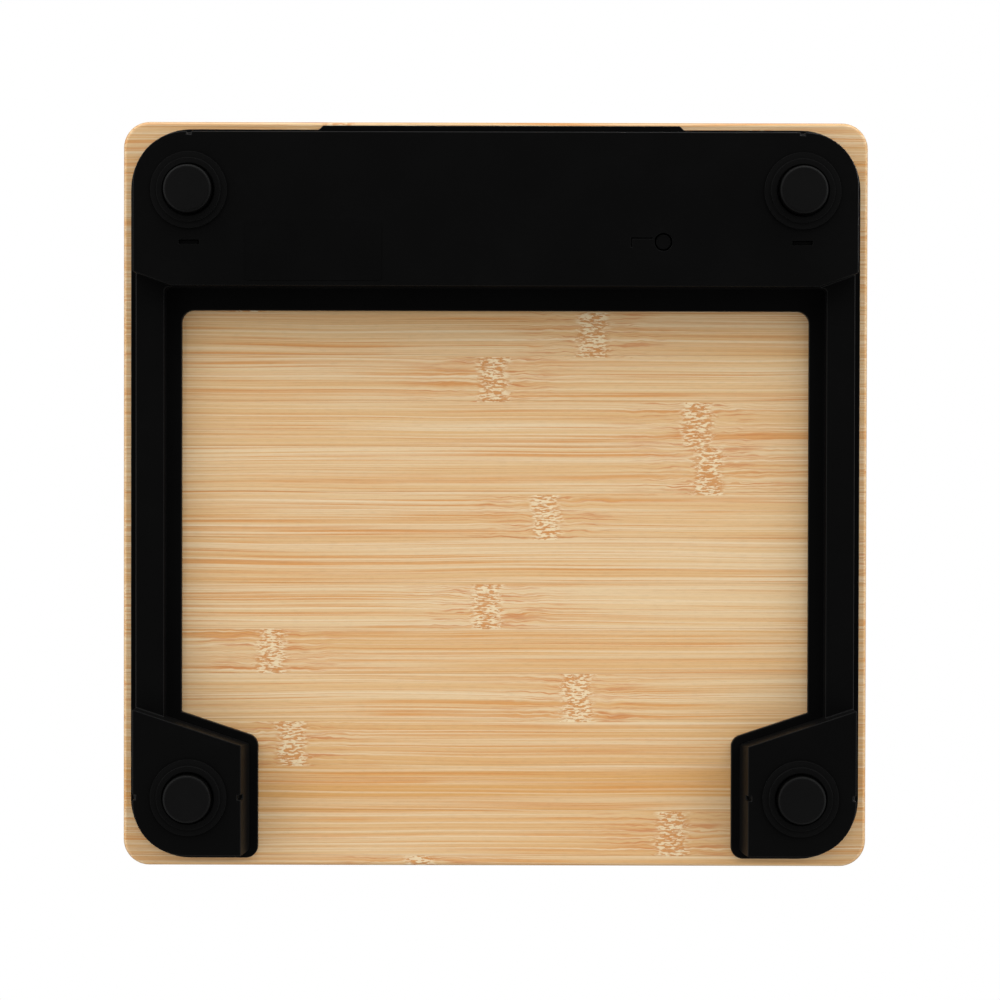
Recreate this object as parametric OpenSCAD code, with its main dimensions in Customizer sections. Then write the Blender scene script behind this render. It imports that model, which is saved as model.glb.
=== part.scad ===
// Square bamboo kitchen scale that stands on four weighing feet.
// The origin is on the table under the middle of the board. +Z is up, and the
// display side, where the user stands, faces -Y.

/* [Platform] */
// Side of the square bamboo board
board_side = 200; // [198:1:206]
// Thickness of the bamboo board
board_t = 8; // [7.5:0.5:12]
// Radius of the board's corners in plan
board_r = 7; // [4:0.5:12]

/* [Housing] */
// Height of the cover's face above the table
ground_gap = 3; // [2.5:0.1:5]
// Depth of the cover under the band and the rear pods
housing_depth = 7.5; // [7.5:0.1:10]
// Depth of the cover under the two side arms
arm_depth = 3.5; // [3.3:0.1:5]
// Thickness of the mount frame's plate
frame_t = 1.5; // [1.5:0.1:2]
// Gap between the board's edge and the mount frame's edge
frame_margin = 2.4; // [2:0.1:3]
// Radius of the mount frame's outer corners
frame_r = 16; // [14:0.5:18]
// How far the cover's outer wall stands inside the mount frame's edge
cover_margin = 2; // [1.5:0.1:2.2]
// Width of the flange that shows inside the arms and behind the band
flange_w = 4; // [3:0.5:5]
// Thickness of the cover's walls
wall_t = 1.6; // [1.2:0.1:1.8]

/* [Opening under the board] */
// Half the width of the opening between the side arms
opening_half_w = 84; // [83:0.5:85]
// Distance from the middle to the opening's front edge
opening_front = 49.2; // [47:0.1:51]
// Half the width of the opening between the rear pods
pod_half_gap = 63.5; // [62:0.5:64]
// Distance from the middle to the pods' sloping front edge, at its inner end
pod_front = 65.2; // [64:0.1:66]
// Slope of the pods' front edge, in degrees
pod_slope = 18.4; // [17:0.1:20]

/* [Feet] */
// Distance of each foot from the middle, across the scale
foot_x = 80.8; // [80.5:0.1:81]
// Distance of each foot from the middle, front to back
foot_y = 80.1; // [79.8:0.1:80.5]
// Outer radius of the ring around each foot
ring_r = 10.1; // [9.8:0.1:10.6]
// Radius of the ring's raised step
ring_step_r = 8.4; // [8:0.1:8.6]
// Radius of the soft pad
pad_r = 6.4; // [6:0.1:6.5]
// How far a foot rises under full load
foot_travel = 0.5; // [0.3:0.1:0.6]

/* [Display and buttons] */
// Sideways position of the display and its two buttons
display_x = 1.5; // [0:0.5:3]
// Front-to-back position of the display
display_y = -78; // [-78.5:0.5:-77.5]
// Width of the display lens
lens_w = 93.4; // [92:0.1:95]
// Depth of the display lens from front to back
lens_d = 30.4; // [30:0.1:31]
// Thickness of the display lens
lens_t = 1.6; // [1.2:0.1:1.8]
// Distance of the two top buttons from the middle of the display
button_offset = 37; // [36.5:0.5:37.5]
// Radius of the two top buttons
button_r = 6.5; // [5.5:0.1:6.6]
// Travel of the two top buttons
button_travel = 0.5; // [0.3:0.1:0.5]
// Radius of the unit button in the cover
unit_button_r = 2; // [1.8:0.1:2.2]
// Travel of the unit button
unit_travel = 0.4; // [0.2:0.1:0.4]

/* [Hidden] */
$fn = 64;
over = 1;             // how far a cutter runs past a face
slide_gap = 0.1;      // radial clearance of a sliding fit
fine_r = 4;           // fillets smaller than this are made of short straight steps
fillet_steps = 8;
left = -1;
right = 1;
front = -1;
rear = 1;

// Heights, from the table up
arm_z = ground_gap + housing_depth - arm_depth;
frame_z = ground_gap + housing_depth;
board_z = frame_z + frame_t;
top_z = board_z + board_t;

// Mount frame and cover in plan
frame_half = board_side / 2 - frame_margin;
cover_half = frame_half - cover_margin;
cover_r = frame_r - cover_margin;
arm_inner = opening_half_w + flange_w;
band_flange = flange_w + 1.8;
band_rear = opening_front + band_flange;
pod_flange = 2.2;
pod_inner = pod_half_gap + pod_flange;
pod_draft = 1.4;    // how far the pods' inner wall leans back over its height
step_start = 85.4;
step_slope = 0.36;
floor_t = 1.6;
arm_floor_t = 1.4;
cover_floor_z = ground_gap + floor_t;

// Display stack, from the lens down to the circuit board
lens_top = top_z - 0.1;
lens_z = lens_top - lens_t;
adhesive_t = 0.2;
tray_top = lens_z - adhesive_t;
tray_w = lens_w - 0.4;
tray_d = lens_d - 0.4;
window_w = lens_w + 0.6;
window_d = lens_d + 0.6;
tray_flange = 2.5;
tray_flange_t = 0.95;
clamp_lip_t = 0.5;
glass_w = 52;
glass_d = 22;
glass_t = 1.8;
glass_z = tray_top - 0.7 - glass_t;
backlight_t = 2.2;
pcb_t = 1;
pcb_top = frame_z - 0.5;
pcb_z = pcb_top - pcb_t;
pcb_left = -62;
pcb_right = 52;
pcb_front = -93.5;
pcb_rear = -58.5;
pcb_screw_x = 30;
pcb_screw_y = 12.4;

// Switches and buttons
switch_side = 6;
switch_h = 3.1;
stem_r = 1.6;
stem_fit = 0.05;
stem_clear = 0.3;     // gap left under a button that is pressed fully
stem_out = max(button_travel, unit_travel) + stem_clear;   // how far a stem stands out of its switch
stem_in = 1.5;        // how much of a stem is inside its switch
button_flange_t = 1;
button_well_r = button_r + 1.2;
unit_x = 44.2;
unit_y = -66.7;
unit_gap = 0.4;
unit_recess = 0.3;

// Feet and load cells, measured from each foot's own axis
pad_t = 1.8;
ring_bore_r = 6.9;
ring_spigot_r = 9.1;
ring_flange_t = 0.5;
ring_step_t = 0.6;
ring_top_z = cover_floor_z + 1;
plunger_flange_r = 8;
plunger_flange_t = 1.2;
plunger_z = ground_gap + 0.7;
cell_r = 10.8;
cell_t = 1.5;
cell_clear = 0.5;     // gap left over a load cell when its foot is pressed fully
cell_z = frame_z - foot_travel - cell_clear - cell_t;
spine_x = -6.4;
bar_half = 3.2;
slot_w = 1.6;
bracket_r = 12;
bracket_t = 1;
ear_at = 8.3;         // each ear's offset along both axes
ear_r = 2.4;
screw_hole_r = 1.2;
pilot_r = 1.15;

// Usb socket in the front wall
usb_x = -57;
usb_w = 8.94;
usb_h = 3.2;
usb_len = 7.3;
usb_z = pcb_z - usb_h / 2;

// Wires
wire_r = 0.42;
wire_pitch = 1;
wire_sides = 6;
wire_z = cell_z - 0.6;
arm_wire_z = frame_z - 1.1;
joint_z = pcb_z - wire_r - 0.05;

bamboo = "#d9b684";
black_plastic = [0.07, 0.07, 0.075];
soft_black = [0.11, 0.11, 0.115];
steel = [0.72, 0.73, 0.74];

// ---------------------------------------------------------------- outlines

function unit(v) = v / norm(v);
function turn(a, b, c) = (b[0] - a[0]) * (c[1] - b[1]) - (b[1] - a[1]) * (c[0] - b[0]);

// Where a fillet of radius c[2] touches the side from corner c to corner a
function touch(a, c, b) =
    let (u = unit([a[0] - c[0], a[1] - c[1]]), v = unit([b[0] - c[0], b[1] - c[1]]),
         half = acos(u * v) / 2)
    [c[0], c[1]] + u * c[2] / tan(half);

function fillet_centre(a, c, b) =
    let (u = unit([a[0] - c[0], a[1] - c[1]]), v = unit([b[0] - c[0], b[1] - c[1]]),
         half = acos(u * v) / 2)
    [c[0], c[1]] + unit(u + v) * c[2] / sin(half);

// Points along a fillet, from one touching point to the other
function fillet_points(a, c, b) =
    let (m = fillet_centre(a, c, b), s = touch(a, c, b) - m, e = touch(b, c, a) - m,
         sweep = atan2(s[0] * e[1] - s[1] * e[0], s * e))
    [for (k = [0:fillet_steps]) let (t = sweep * k / fillet_steps)
        m + [s[0] * cos(t) - s[1] * sin(t), s[0] * sin(t) + s[1] * cos(t)]];

// Outline with rounded corners, each given as [x, y, radius], anticlockwise.
// A corner of fine_r or more that points outwards is a true arc.
module rounded_outline(corners) {
    n = len(corners);
    function before(i) = corners[(i + n - 1) % n];
    function after(i) = corners[(i + 1) % n];
    function is_arc(i) =
        corners[i][2] >= fine_r && turn(before(i), corners[i], after(i)) > 0;
    polygon([for (i = [0:n - 1]) each
        corners[i][2] == 0 ? [[corners[i][0], corners[i][1]]]
        : is_arc(i)
            ? [touch(before(i), corners[i], after(i)), touch(after(i), corners[i], before(i))]
            : fillet_points(before(i), corners[i], after(i))]);
    for (i = [0:n - 1])
        if (is_arc(i))
            translate(fillet_centre(before(i), corners[i], after(i)))
                circle(corners[i][2]);
}

module rounded_rect(w, d, r) {
    rounded_outline([[-w / 2, -d / 2, r], [w / 2, -d / 2, r], [w / 2, d / 2, r], [-w / 2, d / 2, r]]);
}

function flip(points) = [for (i = [len(points) - 1:-1:0]) [-points[i][0], points[i][1], points[i][2]]];

// Height of the pods' sloping front edge at x, shifted back by gap measured square to it
function slope_y(x, gap) =
    pod_front + gap / cos(pod_slope) - (x - pod_half_gap) * tan(pod_slope);

// Right half of an arch: outer corner, inner pod edge, slope, arm and band
module arch(half, r, pod_x, slope_gap, arm_x, band_y, inner_r, pod_r) {
    right_side = [
        [half, -half, r], [half, half, r], [pod_x, half, pod_r],
        [pod_x, slope_y(pod_x, slope_gap), pod_r], [arm_x, slope_y(arm_x, slope_gap), 0],
        [arm_x, -band_y, inner_r]
    ];
    rounded_outline(concat(right_side, flip(right_side)));
}

module frame_outline() {
    arch(frame_half, frame_r, pod_half_gap, 0, opening_half_w, opening_front, 3.3, 3.2);
}

// Cover's outline, inset by e; the pods' inner wall is inset by pod_e
module cover_outline(e, pod_e) {
    arch(cover_half - e, cover_r - e, pod_inner + pod_e, pod_flange + e, arm_inner + e,
         band_rear + e, 1, 1);
}

// Line of the slanted step between the band and an arm, shifted forwards by e
function step_y(x, e) = -band_rear - e - (x - step_start) * step_slope;

// Ground under the right arm, between the band's step and the pod's slope,
// with both of those edges shifted away from it by e
module arm_span(e) {
    past = cover_half + 5;
    corner = [arm_inner + e, slope_y(arm_inner + e, pod_flange + e)];
    polygon([
        [step_start - 2, step_y(step_start - 2, e)], [past, step_y(past, e)],
        [past, slope_y(past, pod_flange + e)], corner, corner - [2, 3], [step_start - 2, 0]
    ]);
}

// ---------------------------------------------------------------- placing

module both_sides() {
    children();
    mirror([1, 0, 0]) children();
}

// A foot's own frame, in which +x and +y point outwards
module at_foot(side, end) {
    translate([side * foot_x, end * foot_y, 0])
        mirror([side == left ? 1 : 0, 0, 0])
            mirror([0, end == front ? 1 : 0, 0])
                children();
}

module at_every_foot() {
    for (side = [left, right], end = [front, rear]) at_foot(side, end) children();
}

module at_bracket_ears() {
    translate([-ear_at, ear_at, 0]) children();
    translate([ear_at, -ear_at, 0]) children();
}

module at_board_screws() {
    both_sides() {
        for (p = [[60, -90.5], [60, -61], [92.3, -30], [92.3, 30], [70.5, 92]])
            translate([p[0], p[1], 0]) children();
    }
}

module at_pcb_screws() {
    for (sx = [-1, 1], sy = [-1, 1])
        translate([display_x + sx * pcb_screw_x, display_y + sy * pcb_screw_y, 0]) children();
}

// ---------------------------------------------------------------- fasteners

// Countersunk wood screw, head down, head face at z = 0
module wood_screw(length) {
    difference() {
        union() {
            cylinder(r1 = 2.5, r2 = 1.3, h = 1.2);
            cylinder(r = 1.3, h = length);
        }
        cross_recess(0.8);
    }
}

// Pan-head screw, head below z = 0
module pan_screw(head_r, head_h, shank_r, length) {
    difference() {
        union() {
            translate([0, 0, -head_h]) cylinder(r1 = head_r * 0.8, r2 = head_r, h = head_h * 0.4);
            translate([0, 0, -head_h * 0.6]) cylinder(r = head_r, h = head_h * 0.6);
            translate([0, 0, -head_h * 0.3]) cylinder(r = shank_r, h = length + head_h * 0.3);
        }
        translate([0, 0, -head_h]) cross_recess(head_h * 0.5);
    }
}

module cross_recess(depth) {
    for (a = [0, 90])
        rotate([0, 0, a]) translate([-1, -0.25, -over]) cube([2, 0.5, depth + over]);
}

module board_screws() {
    color(steel) at_board_screws() translate([0, 0, frame_z]) wood_screw(6);
}

module bracket_screws() {
    color(steel)
        at_every_foot() at_bracket_ears()
            translate([0, 0, frame_z - bracket_t]) pan_screw(1.9, 1.5, 1.1, 6.5);
}

module pcb_screws() {
    color(steel) at_pcb_screws() translate([0, 0, pcb_z]) pan_screw(1.7, 1.2, 0.9, 5);
}

// ---------------------------------------------------------------- platform

// Laminated board with a window for the display and blind pilot holes
module bamboo_board() {
    color(bamboo) difference() {
        translate([0, 0, board_z]) linear_extrude(board_t) rounded_rect(board_side, board_side, board_r);
        translate([display_x, display_y, board_z - over])
            linear_extrude(board_t + 2 * over) rounded_rect(window_w, window_d, 3);
        at_board_screws() translate([0, 0, board_z - over]) cylinder(r = 1.35, h = 5.5 + over);
        at_every_foot() at_bracket_ears()
            translate([0, 0, board_z - over]) cylinder(r = pilot_r, h = 5 + over);
    }
}

// ---------------------------------------------------------------- housing

// Plate between the board and the cover, with a lip at the front edge, a
// window that clamps the display housing, and two snap hooks
module mount_frame() {
    tray_w_out = tray_w + 2 * tray_flange;
    tray_d_out = tray_d + 2 * tray_flange;
    color(black_plastic) difference() {
        union() {
            translate([0, 0, frame_z]) linear_extrude(frame_t) {
                frame_outline();
                front_lip();
            }
            both_sides() snap_hook();
        }
        translate([display_x, display_y, frame_z - over])
            linear_extrude(frame_t + 2 * over) rounded_rect(tray_w + 0.6, tray_d + 0.6, 3);
        translate([display_x, display_y, frame_z + clamp_lip_t])
            linear_extrude(frame_t) rounded_rect(tray_w_out + 0.6, tray_d_out + 0.6, 3);
        at_board_screws() translate([0, 0, frame_z - 0.02]) {
            cylinder(r1 = 2.56, r2 = 1.36, h = 1.2);
            cylinder(r = 1.36, h = frame_t + over);
        }
        at_every_foot() at_bracket_ears()
            translate([0, 0, frame_z - over]) cylinder(r = screw_hole_r, h = frame_t + 2 * over);
    }
}

module front_lip() {
    lip_half = 48.8;
    lip_out = 1.1;
    translate([display_x, -frame_half, 0])
        polygon([[-lip_half, 1], [-lip_half, 0], [-lip_half + lip_out, -lip_out],
                 [lip_half - lip_out, -lip_out], [lip_half, 0], [lip_half, 1]]);
}

hook_y = -66.5;
hook_w = 5;
hook_t = 0.7;
hook_gap = 0.2;

// Leaf that ends inside the slot in the cover's face
module snap_hook() {
    translate([foot_x - hook_w / 2, hook_y - hook_t / 2, ground_gap + 0.5])
        cube([hook_w, hook_t, housing_depth]);
    translate([foot_x - hook_w / 2, hook_y, cover_floor_z + 0.1])
        rotate([90, 0, 90])
            linear_extrude(hook_w) polygon([[0.3, 0], [1.1, 0], [0.3, 2]]);
}

// Arch-shaped cover: deep band and pods, shallow arms
module bottom_cover() {
    color(black_plastic) difference() {
        cover_shell();
        at_every_foot() translate([0, 0, -over]) cylinder(r = ring_spigot_r, h = frame_z);
        translate([unit_x, unit_y, 0]) cylinder(r = unit_button_r + unit_gap, h = frame_z);
        unit_mark();
        both_sides() hook_slot();
        both_sides() edge_notches();
        usb_opening();
    }
}

module cover_shell() {
    difference() {
        translate([0, 0, ground_gap]) linear_extrude(housing_depth) cover_outline(0, 0);
        both_sides() translate([0, 0, ground_gap - over])
            linear_extrude(arm_z - ground_gap + over) arm_span(0);
        cover_hollow();
        both_sides() pod_draft_cut();
    }
}

// Space inside the cover, shallower over the arms
module cover_hollow() {
    difference() {
        translate([0, 0, cover_floor_z])
            linear_extrude(housing_depth) cover_outline(wall_t, pod_draft + 1.4);
        both_sides() translate([0, 0, cover_floor_z - over])
            linear_extrude(arm_z + arm_floor_t - cover_floor_z + over) arm_span(wall_t);
    }
}

// Wedge that leans the pods' inner wall back towards the cover's face
module pod_draft_cut() {
    translate([pod_inner - 0.1, board_side, frame_z])
        rotate([90, 0, 0])
            linear_extrude(board_side)
                polygon([[-over, over], [0, 0], [pod_draft, -housing_depth],
                         [pod_draft, -housing_depth - over], [-over, -housing_depth - over]]);
}

module hook_slot() {
    translate([foot_x - hook_w / 2 - hook_gap, hook_y - hook_t / 2 - hook_gap, 0])
        cube([hook_w + 2 * hook_gap, hook_t + 2 * hook_gap, frame_z]);
}

// Small snap marks on the walls opposite each foot
module edge_notches() {
    notch_w = 1.2;
    notch_d = 0.8;
    notch_h = 2;
    translate([foot_x - notch_w / 2, -cover_half - over, ground_gap - over])
        cube([notch_w, notch_d + over, notch_h + over]);
    translate([cover_half - notch_d, foot_y - notch_w / 2, ground_gap - over])
        cube([notch_d + over, notch_w, notch_h + over]);
    translate([pod_inner - over, foot_y - notch_w / 2, ground_gap - over])
        cube([pod_draft + notch_d + over, notch_w, notch_h + over]);
}

// Mark engraved beside the unit button: one line towards it, and a short one at right angles
module unit_mark() {
    line_w = 0.45;
    line_depth = 0.3;
    mark_w = 5.8;
    mark_d = 2.7;
    mark_x = unit_x - 8.6;
    mark_y = unit_y - 1.2;
    translate([mark_x, mark_y, ground_gap - over]) {
        cube([mark_w, line_w, line_depth + over]);
        cube([line_w, mark_d, line_depth + over]);
    }
}

module usb_opening() {
    translate([usb_x, -cover_half + wall_t + over, usb_z])
        rotate([90, 0, 0]) linear_extrude(wall_t + 2 * over) rounded_rect(usb_w + 0.5, usb_h + 0.5, 1.6);
}

module rating_label() {
    color(soft_black) translate([-48, -64.2, ground_gap - 0.08])
        linear_extrude(0.08) rounded_rect(36, 15.6, 0.8);
}

// ---------------------------------------------------------------- display

module display_lens() {
    color([0.02, 0.02, 0.025]) translate([display_x, display_y, lens_z])
        difference() {
            linear_extrude(lens_t) rounded_rect(lens_w, lens_d, 2.7);
            for (s = [-1, 1])
                translate([s * button_offset, 0, -over])
                    cylinder(r = button_r + slide_gap, h = lens_t + 2 * over);
        }
}

module lens_adhesive() {
    color("white") translate([display_x, display_y, tray_top])
        linear_extrude(adhesive_t) difference() {
            rounded_rect(tray_w, tray_d, 2.5);
            rounded_rect(tray_w - 2.4, tray_d - 2.4, 1.5);
        }
}

// Tray let into the board's window; it holds the glass and guides the two buttons
module display_housing() {
    color(black_plastic) translate([display_x, display_y, 0]) difference() {
        union() {
            translate([0, 0, frame_z]) linear_extrude(tray_top - frame_z) rounded_rect(tray_w, tray_d, 2.5);
            translate([0, 0, board_z - tray_flange_t])
                linear_extrude(tray_flange_t)
                    rounded_rect(tray_w + 2 * tray_flange, tray_d + 2 * tray_flange, 2.5);
            translate([-display_x, -display_y, pcb_top]) at_pcb_screws() cylinder(r = 2, h = over);
        }
        translate([0, 0, glass_z]) linear_extrude(tray_top) rounded_rect(glass_w + 0.4, glass_d + 0.4, 0.5);
        translate([0, 0, frame_z - over]) linear_extrude(tray_top) rounded_rect(50.4, 20.8, 0.5);
        for (s = [-1, 1])
            translate([s * button_offset, 0, frame_z - over]) cylinder(r = button_well_r, h = tray_top);
        translate([-display_x, -display_y, pcb_top - over]) at_pcb_screws() cylinder(r = 0.95, h = 6);
    }
}

module lcd_glass() {
    color([0.55, 0.6, 0.55]) translate([display_x, display_y, glass_z]) {
        translate([0, 0, glass_t / 2]) linear_extrude(glass_t / 2) rounded_rect(glass_w, glass_d - 2.4, 0.3);
        linear_extrude(glass_t / 2) rounded_rect(glass_w, glass_d, 0.3);
    }
}

module backlight() {
    color("white") translate([display_x, display_y - 1.2, glass_z - backlight_t])
        linear_extrude(backlight_t) rounded_rect(50, 17.6, 0.5);
}

// Layered rubber strip that joins the glass to the circuit board
module zebra_strip() {
    color([0.3, 0.3, 0.32]) translate([display_x - 23, display_y + 8.3, pcb_top])
        cube([46, 1.8, glass_z - pcb_top]);
}

// ---------------------------------------------------------------- buttons

module top_button(side) {
    flange_top = tray_top - slide_gap;
    stem_z = pcb_top + switch_h + stem_out;
    color(soft_black) translate([display_x + side * button_offset, display_y, 0]) {
        translate([0, 0, flange_top - button_flange_t])
            cylinder(r = button_well_r - slide_gap, h = button_flange_t);
        translate([0, 0, stem_z]) cylinder(r = 2.2, h = flange_top - stem_z);
        translate([0, 0, flange_top - 0.5]) rotate_extrude() top_button_profile(lens_top - flange_top + 0.5);
    }
}

// Half section of a cap with a dished top and a rounded rim
module top_button_profile(h) {
    rim = 0.5;
    dish_r = 60;
    difference() {
        union() {
            square([button_r - rim, h]);
            square([button_r, h - rim]);
            translate([button_r - rim, h - rim]) circle(rim);
        }
        translate([0, h + dish_r - 0.3]) circle(dish_r, $fn = 256);
        translate([-button_r, -over]) square([button_r, h + 2 * over]);
    }
}

module power_button() { top_button(left); }

module tare_button() { top_button(right); }

module unit_button() {
    flange_top = pcb_z - switch_h - stem_out;
    color(soft_black) translate([unit_x, unit_y, 0]) {
        translate([0, 0, ground_gap + unit_recess])
            cylinder(r = unit_button_r, h = flange_top - ground_gap - unit_recess);
        translate([0, 0, flange_top - 0.4]) cylinder(r = unit_button_r + 1, h = 0.4);
    }
}

// Switch body, bored for its stem, standing on z = 0
module switch_body() {
    color([0.25, 0.25, 0.27]) difference() {
        union() {
            translate([-switch_side / 2, -switch_side / 2, 0])
                cube([switch_side, switch_side, switch_h - 0.3]);
            translate([-switch_side / 2 + 0.4, -switch_side / 2 + 0.4, 0])
                cube([switch_side - 0.8, switch_side - 0.8, switch_h]);
        }
        translate([0, 0, switch_h - stem_in - 0.6]) cylinder(r = stem_r + stem_fit, h = switch_h);
    }
}

module switch_stem() {
    color([0.85, 0.8, 0.65]) translate([0, 0, switch_h - stem_in])
        cylinder(r = stem_r, h = stem_in + stem_out);
}

module on_pcb(side) {
    translate([display_x + side * button_offset, display_y, pcb_top]) children();
}

module under_pcb() {
    translate([unit_x, unit_y, pcb_z]) rotate([180, 0, 0]) children();
}

module power_switch() { on_pcb(left) switch_body(); }

module tare_switch() { on_pcb(right) switch_body(); }

module unit_switch() { under_pcb() switch_body(); }

module power_stem() { on_pcb(left) switch_stem(); }

module tare_stem() { on_pcb(right) switch_stem(); }

module unit_stem() { under_pcb() switch_stem(); }

// ---------------------------------------------------------------- electronics

module main_pcb() {
    color([0.05, 0.3, 0.16]) difference() {
        translate([pcb_left, pcb_front, pcb_z])
            cube([pcb_right - pcb_left, pcb_rear - pcb_front, pcb_t]);
        translate([0, 0, pcb_z - over]) at_pcb_screws() cylinder(r = 1.1, h = pcb_t + 2 * over);
    }
}

// Chip under the board, with a row of legs along two sides
module chip(x, y, w, d, h, legs) {
    color([0.1, 0.1, 0.11]) translate([x, y, pcb_z - h]) {
        translate([-w / 2, -d / 2, 0]) cube([w, d, h - 0.1]);
        for (i = [0:legs - 1], s = [-1, 1])
            translate([-w / 2 + (i + 0.5) * w / legs - 0.2, s > 0 ? d / 2 - 0.3 : -d / 2 - 0.9, h - 0.4])
                cube([0.4, 1.2, 0.4]);
    }
}

module converter_chip() { chip(16, -86, 10, 4, 1.4, 8); }

module controller_chip() { chip(18, -73, 9, 9, 1.2, 9); }

// Usb-c socket: oval steel shell with a tongue inside, open to the front
module usb_socket() {
    shell_t = 0.3;
    back_t = 0.6;
    front_y = -cover_half + 0.3;
    color(steel) translate([usb_x, front_y + usb_len, usb_z]) rotate([90, 0, 0]) {
        difference() {
            linear_extrude(usb_len) rounded_rect(usb_w, usb_h, 1.5);
            translate([0, 0, back_t])
                linear_extrude(usb_len) rounded_rect(usb_w - 2 * shell_t, usb_h - 2 * shell_t, 1.2);
        }
        translate([-3.35, -0.35, back_t / 2]) cube([6.7, 0.7, usb_len - 1.5]);
    }
}

battery_x = -31;
battery_w = 42;
battery_d = 18;
battery_h = 3.4;
pad_h = 0.3;

module battery() {
    color([0.75, 0.76, 0.78]) translate([battery_x, display_y, cover_floor_z + pad_h]) {
        linear_extrude(battery_h) rounded_rect(battery_w - 3, battery_d, 1.4);
        translate([battery_w / 2 - 2, -battery_d / 2 + 1, 0.5]) cube([2, battery_d - 2, battery_h - 1]);
    }
}

module battery_pad() {
    color([0.2, 0.2, 0.2]) translate([battery_x - 18, display_y - 7, cover_floor_z]) cube([36, 14, pad_h]);
}

// ---------------------------------------------------------------- wires

// One round of corner cutting on a route
function cut_corners(p) = concat(
    [p[0]],
    [for (i = [0:len(p) - 2]) each [p[i] * 0.75 + p[i + 1] * 0.25, p[i] * 0.25 + p[i + 1] * 0.75]],
    [p[len(p) - 1]]);
function heading(p, i) = unit(p[min(i + 1, len(p) - 1)] - p[max(i - 1, 0)]);
function sideways(p, i) = unit(cross(heading(p, i), [0, 0, 1]));
function beside(p, d) = [for (i = [0:len(p) - 1]) p[i] + d * sideways(p, i)];
function ring_of(p, i) =
    let (s = sideways(p, i), u = cross(s, heading(p, i)))
    [for (k = [0:wire_sides - 1]) let (a = k * 360 / wire_sides) p[i] + wire_r * (cos(a) * s + sin(a) * u)];

module wire(p) {
    n = wire_sides;
    last = (len(p) - 1) * n;
    polyhedron(
        points = [for (i = [0:len(p) - 1]) each ring_of(p, i)],
        faces = concat(
            [[for (k = [0:n - 1]) k]],
            [[for (k = [n - 1:-1:0]) last + k]],
            [for (i = [0:len(p) - 2], k = [0:n - 1])
                [i * n + k, (i + 1) * n + k, (i + 1) * n + (k + 1) % n, i * n + (k + 1) % n]]));
}

// Flat bundle of wires side by side along one route
module wires(route, colours) {
    p = cut_corners(cut_corners(route));
    for (k = [0:len(colours) - 1])
        color(colours[k]) wire(beside(p, (k - (len(colours) - 1) / 2) * wire_pitch));
}

cell_colours = ["red", "white", "black"];

// From a front cell to the circuit board's edge; x and y are distances from the middle
module front_wires(end_x) {
    wires([[foot_x - 7.4, -foot_y, wire_z], [foot_x - 10, -foot_y, wire_z],
           [foot_x - 14, -foot_y + 1, wire_z],
           [end_x + 3, -foot_y + 2, joint_z], [end_x, -foot_y + 2, joint_z]], cell_colours);
}

// From a rear cell through the side arm to the circuit board's edge
module rear_wires(end_x) {
    wires([[foot_x - 5.2, foot_y - 2.2, wire_z], [foot_x - 5, foot_y - 7, wire_z],
           [foot_x - 4, foot_y - 12, wire_z], [foot_x + 3, foot_y - 13.6, wire_z + 0.1],
           [foot_x + 9.6, foot_y - 14.6, wire_z + 0.8], [foot_x + 11.5, foot_y - 18, arm_wire_z],
           [foot_x + 11.5, foot_y - 26, arm_wire_z], [foot_x + 11.5, -46, arm_wire_z],
           [foot_x + 11.5, -56, arm_wire_z], [foot_x + 8.6, -61.5, arm_wire_z],
           [foot_x, -62.6, arm_wire_z - 0.4], [foot_x - 12, -62.6, joint_z],
           [end_x + 4, -62.6, joint_z], [end_x, -62.6, joint_z]], cell_colours);
}

module front_left_wires() { mirror([1, 0, 0]) front_wires(-pcb_left - 1.5); }

module front_right_wires() { front_wires(pcb_right - 1.5); }

module rear_left_wires() { mirror([1, 0, 0]) rear_wires(-pcb_left - 1.5); }

module rear_right_wires() { rear_wires(pcb_right - 1.5); }

module battery_leads() {
    start_x = battery_x + battery_w / 2 + 0.1;
    start_z = cover_floor_z + pad_h + battery_h / 2;
    wires([[start_x, display_y, start_z], [start_x + 2, display_y, start_z],
           [start_x + 5, display_y + 2, joint_z - 0.6], [start_x + 8, display_y + 3, joint_z],
           [start_x + 10, display_y + 3, joint_z]], ["red", "black"]);
}

// ---------------------------------------------------------------- feet

// Stepped collar pressed into the cover; its lip keeps the foot in
module ring() {
    color(black_plastic) rotate_extrude() {
        translate([ring_bore_r, ground_gap - ring_flange_t]) square([ring_r - ring_bore_r, ring_flange_t]);
        translate([ring_bore_r, ground_gap - ring_flange_t - ring_step_t])
            square([ring_step_r - ring_bore_r, ring_step_t + ring_flange_t]);
        translate([ring_bore_r, ground_gap - ring_flange_t])
            square([ring_spigot_r - ring_bore_r, ring_flange_t + 0.6]);
        translate([plunger_flange_r + slide_gap, ground_gap])
            square([ring_spigot_r - plunger_flange_r - slide_gap, ring_top_z - ground_gap]);
    }
}

// Soft pad with a rounded rim; it stands on the table
module pad() {
    rim = pad_t / 2;
    color(soft_black) rotate_extrude() {
        square([pad_r - rim, pad_t]);
        translate([0, rim]) square([pad_r, pad_t - rim]);
        translate([pad_r - rim, rim]) circle(rim);
    }
}

// Plunger between the pad and the load cell's middle bar
module plunger() {
    color([0.16, 0.16, 0.17]) {
        translate([0, 0, pad_t]) cylinder(r = pad_r - 0.2, h = plunger_z - pad_t + plunger_flange_t);
        translate([0, 0, plunger_z]) cylinder(r = plunger_flange_r, h = plunger_flange_t);
        translate([0, 0, plunger_z]) cylinder(r = 2.2, h = cell_z - plunger_z);
    }
}

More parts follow.
